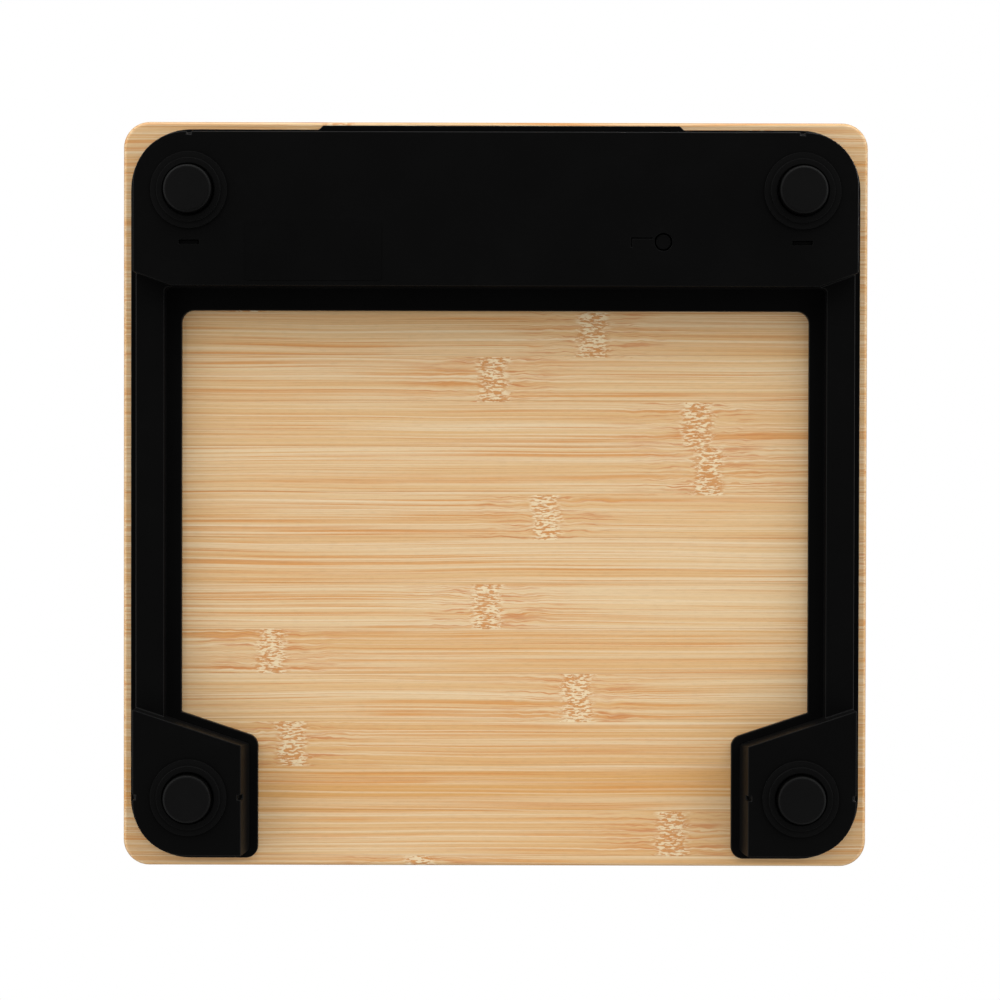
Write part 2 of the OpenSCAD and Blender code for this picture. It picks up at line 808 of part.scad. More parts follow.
// Stamped steel E: the outer bars are held, and the foot bends the middle bar
module load_cell() {
    color(steel) translate([0, 0, cell_z]) linear_extrude(cell_t) difference() {
        intersection() {
            circle(cell_r);
            translate([-10, -9.2]) square([20, 18.4]);
        }
        for (s = [-1, 1])
            translate([spine_x, s * (bar_half + slot_w / 2) - slot_w / 2]) square([20, slot_w]);
        translate([6, -bar_half - slot_w]) square([10, 2 * (bar_half + slot_w)]);
        for (s = [-1, 1]) translate([-s * ear_at, s * ear_at]) circle(ear_r);
    }
}

// Foil and a dab of sealant under the root of the middle bar
module gauge() {
    dab_r = 2;
    dab_h = 0.6;
    sphere_r = (dab_r * dab_r + dab_h * dab_h) / (2 * dab_h);
    foil_t = 0.15;
    color("white") translate([-5.2, 0, cell_z]) {
        translate([-2, -2, -foil_t]) cube([4, 4, foil_t]);
        intersection() {
            translate([0, 0, sphere_r - dab_h - foil_t / 2]) sphere(sphere_r);
            translate([0, 0, -2]) cylinder(r = dab_r, h = 2 - foil_t / 2);
        }
    }
}

// Disc that carries a load cell on the mount frame: a well over the middle bar,
// three posts around the cell and two ears for its screws
module bracket() {
    post_w = 2.4;
    color([0.2, 0.2, 0.21]) translate([0, 0, frame_z - bracket_t]) difference() {
        union() {
            cylinder(r = bracket_r, h = bracket_t);
            at_bracket_ears() cylinder(r = ear_r, h = bracket_t);
            intersection() {
                translate([0, 0, -cell_t - 0.4]) difference() {
                    cylinder(r = bracket_r, h = bracket_t + cell_t);
                    translate([0, 0, -over])
                        cylinder(r = cell_r + slide_gap, h = bracket_t + cell_t + 2 * over);
                }
                for (a = [0, 90, 225])
                    rotate([0, 0, a]) translate([0, -post_w / 2, -2 * cell_t])
                        cube([bracket_r, post_w, 4 * cell_t]);
            }
        }
        translate([-6, -bar_half - 0.8, -over]) cube([14, 2 * bar_half + 1.6, bracket_t + 2 * over]);
        at_bracket_ears() translate([0, 0, -over]) cylinder(r = screw_hole_r, h = bracket_t + 2 * over);
    }
}

module front_left_ring() { at_foot(left, front) ring(); }
module front_right_ring() { at_foot(right, front) ring(); }
module rear_left_ring() { at_foot(left, rear) ring(); }
module rear_right_ring() { at_foot(right, rear) ring(); }

module front_left_pad() { at_foot(left, front) pad(); }
module front_right_pad() { at_foot(right, front) pad(); }
module rear_left_pad() { at_foot(left, rear) pad(); }
module rear_right_pad() { at_foot(right, rear) pad(); }

module front_left_plunger() { at_foot(left, front) plunger(); }
module front_right_plunger() { at_foot(right, front) plunger(); }
module rear_left_plunger() { at_foot(left, rear) plunger(); }
module rear_right_plunger() { at_foot(right, rear) plunger(); }

module front_left_load_cell() { at_foot(left, front) load_cell(); }
module front_right_load_cell() { at_foot(right, front) load_cell(); }
module rear_left_load_cell() { at_foot(left, rear) load_cell(); }
module rear_right_load_cell() { at_foot(right, rear) load_cell(); }

module front_left_gauge() { at_foot(left, front) gauge(); }
module front_right_gauge() { at_foot(right, front) gauge(); }
module rear_left_gauge() { at_foot(left, rear) gauge(); }
module rear_right_gauge() { at_foot(right, rear) gauge(); }

module front_left_bracket() { at_foot(left, front) bracket(); }
module front_right_bracket() { at_foot(right, front) bracket(); }
module rear_left_bracket() { at_foot(left, rear) bracket(); }
module rear_right_bracket() { at_foot(right, rear) bracket(); }

// ---------------------------------------------------------------- nodes

bamboo_board();
mount_frame();
bottom_cover();
rating_label();
display_lens();
lens_adhesive();
display_housing();
lcd_glass();
backlight();
zebra_strip();
power_button();
tare_button();
unit_button();
power_switch();
tare_switch();
unit_switch();
power_stem();
tare_stem();
unit_stem();
main_pcb();
converter_chip();
controller_chip();
usb_socket();
battery();
battery_pad();
battery_leads();
board_screws();
bracket_screws();
pcb_screws();
front_left_ring();
front_right_ring();
rear_left_ring();
rear_right_ring();
front_left_pad();
front_right_pad();
rear_left_pad();
rear_right_pad();
front_left_plunger();
front_right_plunger();
rear_left_plunger();
rear_right_plunger();
front_left_load_cell();
front_right_load_cell();
rear_left_load_cell();
rear_right_load_cell();
front_left_gauge();
front_right_gauge();
rear_left_gauge();
rear_right_gauge();
front_left_bracket();
front_right_bracket();
rear_left_bracket();
rear_right_bracket();
front_left_wires();
front_right_wires();
rear_left_wires();
rear_right_wires();
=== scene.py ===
import math

import bmesh
import bpy
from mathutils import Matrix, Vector


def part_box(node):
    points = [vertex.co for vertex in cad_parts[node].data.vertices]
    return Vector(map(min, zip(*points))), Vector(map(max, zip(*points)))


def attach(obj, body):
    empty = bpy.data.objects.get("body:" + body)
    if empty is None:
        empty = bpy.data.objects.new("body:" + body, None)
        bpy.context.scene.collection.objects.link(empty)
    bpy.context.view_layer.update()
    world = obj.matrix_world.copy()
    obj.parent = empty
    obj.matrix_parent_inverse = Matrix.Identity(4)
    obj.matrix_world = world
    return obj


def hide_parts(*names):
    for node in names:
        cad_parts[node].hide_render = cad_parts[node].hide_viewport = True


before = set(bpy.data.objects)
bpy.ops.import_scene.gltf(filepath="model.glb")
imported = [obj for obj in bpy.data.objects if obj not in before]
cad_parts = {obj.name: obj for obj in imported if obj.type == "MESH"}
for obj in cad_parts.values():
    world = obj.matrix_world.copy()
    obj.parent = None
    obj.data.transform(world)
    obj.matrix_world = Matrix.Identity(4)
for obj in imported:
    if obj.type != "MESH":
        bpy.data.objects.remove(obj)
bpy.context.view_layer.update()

# ---------------------------------------------------------------- camera
# Under the scale, looking straight up at the cover and the four feet. It stands a little to the
# right of the middle and leans by half a degree, and the front of the scale is at the top.
MM = 0.001
eye = bpy.data.cameras.new("camera")
eye.lens = 62.15
eye.sensor_width = 36
eye.clip_start = 0.01
camera = bpy.data.objects.new("camera", eye)
camera.location = (1.3 * MM, -2.5 * MM, -452 * MM)
camera.rotation_euler = (math.radians(180 - 0.485), 0, math.radians(-0.13))
bpy.context.scene.collection.objects.link(camera)
bpy.context.scene.camera = camera


# ---------------------------------------------------------------- studio
# A white tent of light with its brightest band low round the horizon, and a pale table top.
# The table shows only from above, so that the underside can be looked at through it.
class Signal:
    """One output of a shader's nodes. Arithmetic on it adds nodes to the same tree."""

    def __init__(self, tree, output=None):
        self.tree = tree
        self.output = output

    def node(self, kind, settings=None, inputs=None, output=0):
        made = self.tree.nodes.new(kind)
        for name, value in (settings or {}).items():
            if name == "stops":
                stops = made.color_ramp.elements
                while len(stops) < len(value):
                    stops.new(1)
                for stop, (position, colour) in zip(stops, value):
                    stop.position = position
                    stop.color = colour
            elif name == "interpolation":
                made.color_ramp.interpolation = value
            else:
                setattr(made, name, value)
        for name, value in (inputs or {}).items():
            if isinstance(value, Signal):
                self.tree.links.new(value.output, made.inputs[name])
            else:
                made.inputs[name].default_value = value
        return Signal(self.tree, made.outputs[output] if made.outputs else None)

    def maths(self, operation, first, second):
        kind = self.output.type
        if kind == "VECTOR":
            pair = [(v,) * 3 if isinstance(v, (int, float)) else v for v in (first, second)]
            return self.node("ShaderNodeVectorMath", {"operation": operation}, {0: pair[0], 1: pair[1]})
        if kind == "RGBA":
            pair = [(v, v, v, 1) if isinstance(v, (int, float)) else v for v in (first, second)]
            blend = {"data_type": "RGBA", "blend_type": operation}
            return self.node("ShaderNodeMix", blend, {0: 1.0, 6: pair[0], 7: pair[1]}, 2)
        return self.node("ShaderNodeMath", {"operation": operation}, {0: first, 1: second})

    def __add__(self, other):
        return self.maths("ADD", self, other)

    def __radd__(self, other):
        return self.maths("ADD", other, self)

    def __sub__(self, other):
        return self.maths("SUBTRACT", self, other)

    def __rsub__(self, other):
        return self.maths("SUBTRACT", other, self)

    def __mul__(self, other):
        return self.maths("MULTIPLY", self, other)

    def __rmul__(self, other):
        return self.maths("MULTIPLY", other, self)

    def __truediv__(self, other):
        return self.maths("DIVIDE", self, other)

    def __rtruediv__(self, other):
        return self.maths("DIVIDE", other, self)

    def __abs__(self):
        return self.node("ShaderNodeMath", {"operation": "ABSOLUTE"}, {0: self})

    def fraction(self):
        return self.node("ShaderNodeMath", {"operation": "FRACT"}, {0: self})

    def part(self, axis):
        return self.node("ShaderNodeSeparateXYZ", {}, {0: self}, axis)

    def step(self, start, end):
        """0 at start and 1 at end, with soft ends; start may be the larger."""
        soft = {"interpolation_type": "SMOOTHSTEP"}
        if start < end:
            return self.node("ShaderNodeMapRange", soft, {0: self, 1: start, 2: end})
        return 1 - self.node("ShaderNodeMapRange", soft, {0: self, 1: end, 2: start})

    def mix(self, low, high):
        """Colour low where this is 0, and high where it is 1."""
        return self.node("ShaderNodeMix", {"data_type": "RGBA"}, {0: self, 6: low, 7: high}, 2)

    def noise(self, detail=2.0, rough=0.5, distortion=0.0):
        """Noise of this place, one blob per unit."""
        return self.node("ShaderNodeTexNoise", {}, {
            "Vector": self, "Scale": 1.0, "Detail": detail, "Roughness": rough, "Distortion": distortion})


def tint(code, gain=1.0):
    """Linear colour of a paint chip such as #dbb688."""
    parts = [int(code[i:i + 2], 16) / 255 for i in (1, 3, 5)]
    linear = [c / 12.92 if c <= 0.04045 else ((c + 0.055) / 1.055) ** 2.4 for c in parts]
    return (*[c * gain for c in linear], 1)


scene = bpy.context.scene
scene.view_settings.view_transform = "Standard"
world = bpy.data.worlds.new("tent")
world.use_nodes = True
world.node_tree.nodes.clear()
scene.world = world
tent = Signal(world.node_tree)
toward = tent.node("ShaderNodeTexCoord", output="Generated")
level = abs(toward.part(2))
tent_gain = 2.72
band_levels = [(0, 0.5), (0.1, 0.9), (0.2, 1.25), (0.42, 1), (0.7, 0.1), (0.9, 0.02), (1, 0.02)]
band = level.node("ShaderNodeValToRGB", {"stops": [(at, (v, v, v, 1)) for at, v in band_levels]}, {0: level})
upper_share = 0.42
front_bias = 0.53
from_under = upper_share + (1 - upper_share) * toward.part(2).step(0.05, -0.05)
lit = band * (tent_gain * (1 - front_bias * toward.part(1)) * from_under)
seen = tent.node("ShaderNodeBackground", {}, {"Color": (1, 1, 1, 1), "Strength": 1.0})
cast = tent.node("ShaderNodeBackground", {}, {"Color": lit, "Strength": 1.0})
by_camera = tent.node("ShaderNodeLightPath", output="Is Camera Ray")
both = tent.node("ShaderNodeMixShader", {}, {0: by_camera, 1: cast, 2: seen})
tent.node("ShaderNodeOutputWorld", {}, {"Surface": both})


def new_finish(name):
    """An empty material, and a signal to hang its nodes on."""
    made = bpy.data.materials.new(name)
    made.use_nodes = True
    made.node_tree.nodes.clear()
    return made, Signal(made.node_tree)


def surface(start, bump=None, depth=0.0, **sockets):
    """Ends a material with a Principled shader. bump is a height from 0 to 1, and depth is in mm."""
    values = {name.replace("_", " "): value for name, value in sockets.items()}
    if bump is not None:
        values["Normal"] = start.node("ShaderNodeBump", {}, {
            "Strength": 1.0, "Distance": depth * MM, "Height": bump})
    shader = start.node("ShaderNodeBsdfPrincipled", {}, values)
    start.node("ShaderNodeOutputMaterial", {}, {"Surface": shader})
    return shader


table_paint, paint = new_finish("table_paint")
from_below = paint.node("ShaderNodeNewGeometry", output="Backfacing")
speckle = (paint.node("ShaderNodeTexCoord", output="Object") * 400).noise()
top = paint.node("ShaderNodeBsdfDiffuse", {}, {"Color": speckle.mix(tint("#f1f0ee"), tint("#f6f5f3"))})
clear = paint.node("ShaderNodeBsdfTransparent")
one_way = paint.node("ShaderNodeMixShader", {}, {0: from_below, 1: top, 2: clear})
paint.node("ShaderNodeOutputMaterial", {}, {"Surface": one_way})

table_half = 3
table_mesh = bpy.data.meshes.new("table")
table_corners = [(-1, -1), (1, -1), (1, 1), (-1, 1)]
table_z = -0.05 * MM
table_mesh.from_pydata([(x * table_half, y * table_half, table_z) for x, y in table_corners], [], [range(4)])
table_mesh.materials.append(table_paint)
table = bpy.data.objects.new("table", table_mesh)
table.visible_diffuse = False
table.visible_glossy = False
table.visible_transmission = False
table.visible_shadow = False
scene.collection.objects.link(table)


def soft_light(name, place, aim, side, power):
    """A square lamp at a place in metres that points at aim."""
    lamp = bpy.data.lights.new(name, "AREA")
    lamp.energy = power
    lamp.size = side
    holder = bpy.data.objects.new(name, lamp)
    holder.location = place
    holder.rotation_euler = (Vector(aim) - Vector(place)).to_track_quat("-Z", "Y").to_euler()
    scene.collection.objects.link(holder)
    return lamp


soft_light("ceiling_lamp", (0.5, -0.5, 1.1), (0, 0, 0.02), 0.8, 7)


# ---------------------------------------------------------------- bamboo board
# One slab of flat-pressed bamboo laths, glued side by side, planed and oiled. Each lath has a
# knuckle where the cane had a joint, and its edges are eased by hand with a fine paper.
def bare(node):
    """A copy of a CAD node's mesh with its faces joined up and its flat areas in one piece."""
    sheet = bmesh.new()
    sheet.from_mesh(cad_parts[node].data)
    bmesh.ops.remove_doubles(sheet, verts=sheet.verts, dist=0.002 * MM)
    bmesh.ops.dissolve_limit(
        sheet, angle_limit=math.radians(0.4), verts=sheet.verts, edges=sheet.edges)
    return sheet


def islands(sheet):
    """The separate solids of a mesh, each as a list of its vertices."""
    left = dict.fromkeys(sheet.verts)
    found = []
    while left:
        reached = [left.popitem()[0]]
        for vertex in reached:
            for edge in vertex.link_edges:
                other = edge.other_vert(vertex)
                if other in left:
                    del left[other]
                    reached.append(other)
        found.append(reached)
    return found


def centres(node):
    """The middle of each solid of a node, in plan."""
    sheet = bare(node)
    found = []
    for solid in islands(sheet):
        xs = [v.co.x for v in solid]
        ys = [v.co.y for v in solid]
        found.append(((min(xs) + max(xs)) / 2, (min(ys) + max(ys)) / 2))
    sheet.free()
    return found


def rounded_loop(centre, width, depth, radius, steps=12):
    """Points round a rectangle with arcs for corners, anticlockwise."""
    points = []
    for quarter, (sx, sy) in enumerate([(1, 1), (-1, 1), (-1, -1), (1, -1)]):
        for k in range(steps + 1):
            turn = math.pi / 2 * (quarter + k / steps)
            points.append((centre[0] + sx * (width / 2 - radius) + radius * math.cos(turn),
                           centre[1] + sy * (depth / 2 - radius) + radius * math.sin(turn)))
    return points


def wall(sheet, loops):
    """Faces between loops of (points, height); returns the edges of the first and the last loop."""
    rows = [[sheet.verts.new((x, y, z)) for x, y in points] for points, z in loops]
    for lower, upper in zip(rows, rows[1:]):
        for k in range(len(lower)):
            n = (k + 1) % len(lower)
            sheet.faces.new((lower[k], lower[n], upper[n], upper[k]))
    ends = []
    for row in (rows[0], rows[-1]):
        ends.append([sheet.edges.get((row[k], row[(k + 1) % len(row)])) for k in range(len(row))])
    return ends


def eased(low, high, ease, steps=5):
    """(inset, height) pairs up a side whose two edges are rounded to a radius."""
    turns = [math.pi / 2 * k / steps for k in range(steps + 1)]
    lower = [(ease * (1 - math.sin(t)), low + ease * (1 - math.cos(t))) for t in turns]
    return lower + [(inset, low + high - z) for inset, z in reversed(lower)]


def piece(name, mesh, finish, body="root", replaced=(), shaded=True):
    """Links a mesh to the scene with its finish and rides it on a body."""
    if isinstance(mesh, bmesh.types.BMesh):
        sheet = mesh
        bmesh.ops.recalc_face_normals(sheet, faces=sheet.faces)
        for edge in sheet.edges:
            edge.smooth = edge.calc_face_angle(0) < math.radians(35)
        mesh = bpy.data.meshes.new(name)
        sheet.to_mesh(mesh)
        sheet.free()
    mesh.materials.clear()
    for one in finish if isinstance(finish, list) else [finish]:
        mesh.materials.append(one)
    mesh.polygons.foreach_set("use_smooth", [shaded] * len(mesh.polygons))
    made = bpy.data.objects.new(name, mesh)
    scene.collection.objects.link(made)
    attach(made, body)
    if replaced:
        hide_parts(*replaced)
    return made


def even_normals(made):
    """Shades flat areas flat and leaves the roundings smooth."""
    even = made.modifiers.new("even_normals", "WEIGHTED_NORMAL")
    even.keep_sharp = True
    even.weight = 100
    return made


board_low, board_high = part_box("bamboo_board")
lens_low, lens_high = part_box("display_lens")
corner_r = 7 * MM
edge_r = 1.1 * MM
window_gap = 0.3 * MM
window_r = 3 * MM
window_edge = 0.3 * MM
board_w = board_high.x - board_low.x
board_d = board_high.y - board_low.y
lens_mid = (lens_low + lens_high) / 2
window_w = lens_high.x - lens_low.x + 2 * window_gap
window_d = lens_high.y - lens_low.y + 2 * window_gap

slab = bmesh.new()
outside = wall(slab, [
    (rounded_loop((0, 0), board_w - 2 * e, board_d - 2 * e, corner_r - e), z)
    for e, z in eased(board_low.z, board_high.z, edge_r)])
window = wall(slab, [
    (rounded_loop(lens_mid, window_w + 2 * e, window_d + 2 * e, window_r + e, 6), z)
    for e, z in eased(board_low.z, board_high.z, window_edge, 3)])
underside_edges = outside[0] + window[0]
pilot_holes = (("board_screws", 1.35 * MM, 5.5 * MM), ("bracket_screws", 1.15 * MM, 5 * MM))
for node, hole_r, hole_depth in pilot_holes:
    for centre in centres(node):
        mouth, end = wall(slab, [
            (rounded_loop(centre, 2 * hole_r, 2 * hole_r, hole_r * 0.999, 5), board_low.z + z)
            for z in (0, hole_depth)])
        underside_edges += mouth
        bmesh.ops.edgeloop_fill(slab, edges=end)
bmesh.ops.triangle_fill(slab, use_beauty=True, edges=underside_edges)
bmesh.ops.triangle_fill(slab, use_beauty=True, edges=outside[1] + window[1])

bamboo, grain = new_finish("oiled_bamboo")
lath_w = 12.23
lath_shift = -0.8
lath_count = 18
lath_first = -9
# Each lath in turn from the front edge: where its knuckle is along X, its tone and its own shift.
laths = [
    (-42, 0.42, 0.11), (71, 0.55, 0.73), (-12, 0.35, 0.29), (38, 0.60, 0.52), (-66, 0.48, 0.91),
    (26.3, 0.40, 0.17), (-0.6, 0.26, 0.66), (54.3, 0.42, 0.38), (57.2, 0.26, 0.84),
    (13.7, 0.40, 0.05), (110, 0.39, 0.47), (-2.2, 0.09, 0.95), (-59.9, 0.57, 0.22),
    (22.0, 0.37, 0.59), (-54.6, 0.62, 0.77), (110, 1.0, 0.33), (47.8, 0.47, 0.13), (-20, 0.5, 0.7)]
knuckle_span = 240
place = grain.node("ShaderNodeTexCoord", output="Object") * (1 / MM)
x, y, z = (place.part(axis) for axis in range(3))
lath = (y - lath_shift) / lath_w - lath_first
across = lath.fraction()
card = lath.node("ShaderNodeValToRGB", {
    "interpolation": "CONSTANT",
    "stops": [(k / lath_count + 1e-5, ((at + knuckle_span / 2) / knuckle_span, tone, shift, 1))
              for k, (at, tone, shift) in enumerate(laths)]}, {0: lath / lath_count})
at, tone, shift = (card.node("ShaderNodeSeparateColor", {}, {0: card}, n) for n in range(3))
knuckle_x = at * knuckle_span - knuckle_span / 2


def at_scale(sx, sy, sz):
    """The place along and across the grain, with each lath's own shift."""
    along = shift * 731 + x * sx
    return grain.node("ShaderNodeCombineXYZ", {}, {0: along, 1: y * sy, 2: z * sz})


wander = at_scale(0.25, 0.75, 0.3).noise(2) - 0.5
from_knuckle = x - knuckle_x + wander * 6
distance = abs(from_knuckle)
core = distance.step(5.5, 2.2)
around = distance.step(30, 5)
sway = (at_scale(0.012, 0.05, 0.05).noise(1) - 0.5) * 2.5
ripple = (at_scale(0.16, 0.45, 0.3).noise(2) - 0.5) * around * 2
fibre_y = y + sway + ripple + (at_scale(0.5, 0.8, 0.5).noise(2) - 0.5) * core * 2


def fibres(stretch, pitch, low=0.56, high=0.66):
    """Long threads of fibre, a pitch in mm apart; a smaller stretch makes them longer."""
    spot = grain.node("ShaderNodeCombineXYZ", {}, {
        0: shift * 577 + x * stretch, 1: fibre_y / pitch, 2: z / pitch})
    return spot.noise(2, 0.55).step(low, high)


thick_threads = fibres(0.004, 1.1, 0.54, 0.64)
thin_threads = fibres(0.008, 0.4, 0.5, 0.62)
cream_threads = fibres(0.003, 0.8, 0.48, 0.62)
short_threads = fibres(0.06, 0.6, 0.52, 0.64)
patches = at_scale(0.022, 0.35, 0.3).noise(2).step(0.38, 0.66)
pale = at_scale(0.008, 0.42, 0.3).noise(2, 0.6).step(0.42, 0.68)
dashes = at_scale(0.3, 3.2, 2).noise(3, 0.65)

straw = tone.mix(tint("#e3c293"), tint("#d8a566"))
body_colour = (pale * 0.6).mix(straw, tint("#e6cda6"))
threaded = (cream_threads * 0.5).mix(body_colour, tint("#edd8b4"))
threaded = (thick_threads * (0.2 + 0.6 * patches)).mix(threaded, tint("#d5934e"))
threaded = (thin_threads * (0.4 + 0.45 * patches)).mix(threaded, tint("#d2955a"))
threaded = (short_threads * around * 0.7).mix(threaded, tint("#c87f4a"))
threaded = threaded * (0.93 + 0.14 * dashes.step(0.3, 0.7)).mix((0, 0, 0, 1), (1, 1, 1, 1))

curls = at_scale(0.62, 2.5, 0.8).noise(2, 0.5, 0.3)
cream = curls.step(0.44, 0.56).mix(tint("#cf8f52"), tint("#efdcb6"))
squiggles = abs(curls - 0.47).step(0.03, 0.0)
specks = place.node("ShaderNodeTexVoronoi", {}, {"Vector": at_scale(0.85, 1.15, 1), "Scale": 1.0})
pit = specks.step(0.14, 0.06) * curls.step(0.55, 0.45)
knuckle = (squiggles * 0.7).mix(cream, tint("#bd7a44"))
knuckle = (pit * 0.6).mix(knuckle, tint("#6b4a2e"))
faced = (core * 0.8).mix(threaded, knuckle)

end_face = abs(grain.node("ShaderNodeTexCoord", output="Normal").part(0)).step(0.75, 0.9)
bundles = place.node("ShaderNodeTexVoronoi", {}, {"Vector": place * (0.35, 1.5, 1.5), "Scale": 1.0})
end_grain = bundles.step(0.12, 0.42).mix(tint("#a9713f"), tint("#d5aa75"))
joint = (abs(across - 0.5)).step(0.488, 0.5)
whole = (end_face * 0.85).mix(faced, end_grain)
whole = (joint * 0.45).mix(whole, tint("#a9713f"))
# Painted shade: the sides and eased edges, where the face turns away from level, are darkened in colour.
painted_side_shade = abs(grain.node("ShaderNodeTexCoord", output="Normal").part(2)).step(0.95, 0.5)
whole = painted_side_shade.mix(whole, whole * (0.58, 0.56, 0.52, 1))

relief = 0.55 + 0.25 * dashes - 0.3 * thick_threads - 0.2 * thin_threads * patches
relief = relief - core * (0.35 * squiggles + 0.5 * pit)
shine = 0.5 + 0.16 * patches - 0.1 * core + 0.12 * (dashes - 0.5)
surface(grain, relief, 0.05, Base_Color=whole, Roughness=shine, IOR=1.45, Specular_IOR_Level=0.3)
board = piece("board", slab, bamboo, replaced=["bamboo_board"])
even_normals(board)


# ---------------------------------------------------------------- mount frame
# Black plate, injection-moulded in ABS with a fine spark texture, screwed to the underside of
# the board. Its edge stands out past the cover, and a low lip runs along the front.
def chains(sheet, sharp):
    """Groups of sharp edges that touch each other, each with its whole length."""
    left = dict.fromkeys(e for e in sheet.edges if len(e.link_faces) == 2 and e.calc_face_angle() > sharp)
    found = []
    while left:
        reached = [left.popitem()[0]]
        for edge in reached:
            for vertex in edge.verts:
                for other in vertex.link_edges:
                    if other in left:
                        del left[other]
                        reached.append(other)
        found.append((sum(e.calc_length() for e in reached), reached))
    return found


def put_in_order(sheet):
    """The bevel gives its corners and faces back in another order each run: sort them by place."""
    for number, corner in enumerate(sorted(sheet.verts, key=lambda vertex: vertex.co[:])):
        corner.index = number
    sheet.verts.sort()
    for number, face in enumerate(sorted(sheet.faces, key=lambda f: sorted(v.index for v in f.verts))):
        face.index = number
    sheet.faces.sort()


def moulded(node, ease, small_ease=0.0, long=0.11, steps=3):
    """A copy of a CAD node with its long edges eased, and its short ones by less or not at all."""
    sheet = bare(node)
    for is_long, width in ((True, ease), (False, small_ease)):
        edges = [e for length, chain in chains(sheet, math.radians(28)) for e in chain
                 if (length > long) == is_long]
        if edges and width:
            bmesh.ops.bevel(sheet, geom=edges, offset=width, offset_type="OFFSET", segments=steps,
                            profile=0.5, affect="EDGES", clamp_overlap=long == 0)
            put_in_order(sheet)
    return sheet


def black_mould(name, face, sheen, roughness, spark=0.012, painted_rim_shade=False):
    """Black moulded plastic with a spark texture and faint rub marks; the rim option darkens the rim, where
    the face turns from level, as painted shade.
    """
    made, start = new_finish(name)
    spot = start.node("ShaderNodeTexCoord", output="Object") * (1 / MM)
    sparks = (spot * 7).noise(3, 0.6)
    cloud = (spot * 0.06).noise(3, 0.55)
    scuffs = abs((spot * (0.05, 1.4, 1.4)).noise(2, 0.6, 0.4) - 0.5).step(0.02, 0)
    rubs = scuffs * cloud.step(0.5, 0.62)
    colour = (0.25 + 0.5 * cloud + 0.25 * sparks).mix(tint(face, 0.8), tint(face, 1.2))
    colour = (rubs * 0.2).mix(colour, tint(sheen))
    if painted_rim_shade:
        # Painted shade: near-black colour on the rim, where the face turns away from level.
        upright = abs(start.node("ShaderNodeTexCoord", output="Normal").part(2))
        colour = upright.step(0.75, 0.98).mix(tint("#030303"), colour)
    surface(start, sparks, spark, Base_Color=colour, Specular_IOR_Level=0.06,
            Roughness=roughness + 0.1 * cloud - 0.04 * rubs)
    return made


housing_black = black_mould("housing_black", "#090909", "#131314", 0.28)
plate = piece("mount_plate", moulded("mount_frame", 0.25 * MM), housing_black,
              replaced=["mount_frame"])
even_normals(plate)


# ---------------------------------------------------------------- bottom cover
# Arch-shaped shell, moulded in the same black ABS: deep over the electronics and the rear feet,
# shallow over the two wire channels. It snaps onto the plate by two hooks.
cover = piece("cover", moulded("bottom_cover", 0.3 * MM, 0.1 * MM), housing_black,
              replaced=["bottom_cover"])
even_normals(cover)


# ---------------------------------------------------------------- rating label
# Blank film label, die-cut with round corners and stuck on the cover's face. It is printed
# solid black, and its face is a little smoother than the moulding round it.
def dressed(nodes, finish, ease, body="root", steps=2):
    """Stands a piece with edges eased by some mm in for each of these CAD nodes."""
    for node in nodes:
        sheet = moulded(node, ease * MM, long=0, steps=steps)
        even_normals(piece("finished_" + node, sheet, finish, body, [node]))


dressed(["rating_label"], black_mould("label_film", "#080808", "#121213", 0.3, 0.004), 0.02)


# ---------------------------------------------------------------- display window
# Smoked acrylic lens, let flush into the board and held on the tray by a frame of foam tape.
# The edge is flame-polished, and fingers leave faint smears on its face.
smoked, film = new_finish("smoked_acrylic")
spot = film.node("ShaderNodeTexCoord", output="Object") * (1 / MM)
smears = (spot * (0.12, 0.3, 0.3)).noise(4, 0.6, 0.8).step(0.45, 0.75)
hairlines = abs((spot * (0.09, 2.6, 1)).noise(2, 0.5) - 0.5).step(0.006, 0)
surface(film, hairlines, -0.002, Base_Color=smears.mix(tint("#08080a"), tint("#0e0e11")),
        Roughness=0.05 + 0.1 * smears + 0.08 * hairlines, IOR=1.49, Alpha=0.82)
dressed(["display_lens"], smoked, 0.3, steps=4)

tape, weave = new_finish("foam_tape")
spot = weave.node("ShaderNodeTexCoord", output="Object") * (1 / MM)
cells = spot.node("ShaderNodeTexVoronoi", {}, {"Vector": spot, "Scale": 5.0})
surface(weave, cells, 0.03, Base_Color=cells.mix(tint("#e6e4dc"), tint("#c9c6ba")),
        Roughness=0.6 + 0.2 * cells)
dressed(["lens_adhesive"], tape, 0.03)

tray_black = black_mould("tray_black", "#151516", "#242426", 0.45)
dressed(["display_housing"], tray_black, 0.12)


# ---------------------------------------------------------------- segment display
# Glass cell of a seven-segment display over a frosted light guide. A striped rubber strip joins
# its contacts to the circuit board. Four digits fit; at rest the last one shows nought.
def ribbon(sheet, points, width, low, high):
    """A flat strip of even width that follows points in plan, between two heights."""
    points = [Vector(p) for p in points]
    rows = []
    for k, point in enumerate(points):
        heading = (points[min(k + 1, len(points) - 1)] - points[max(k - 1, 0)]).normalized()
        side = Vector((-heading.y, heading.x)) * width / 2
        section = [(point + side, low), (point - side, low), (point - side, high), (point + side, high)]
        rows.append([sheet.verts.new((p.x, p.y, z)) for p, z in section])
    for here, there in zip(rows, rows[1:]):
        for k in range(4):
            n = (k + 1) % 4
            sheet.faces.new((here[k], here[n], there[n], there[k]))
    sheet.faces.new(rows[0])
    sheet.faces.new(rows[-1])


glass, pane = new_finish("polarised_glass")
spot = pane.node("ShaderNodeTexCoord", output="Object") * (1 / MM)
pixels = (spot * 0.4).noise(2)
surface(pane, pixels, 0.002, Base_Color=pixels.mix(tint("#1b2420"), tint("#26302b")),
        Roughness=0.12 + 0.08 * pixels)
dressed(["lcd_glass"], glass, 0.08)

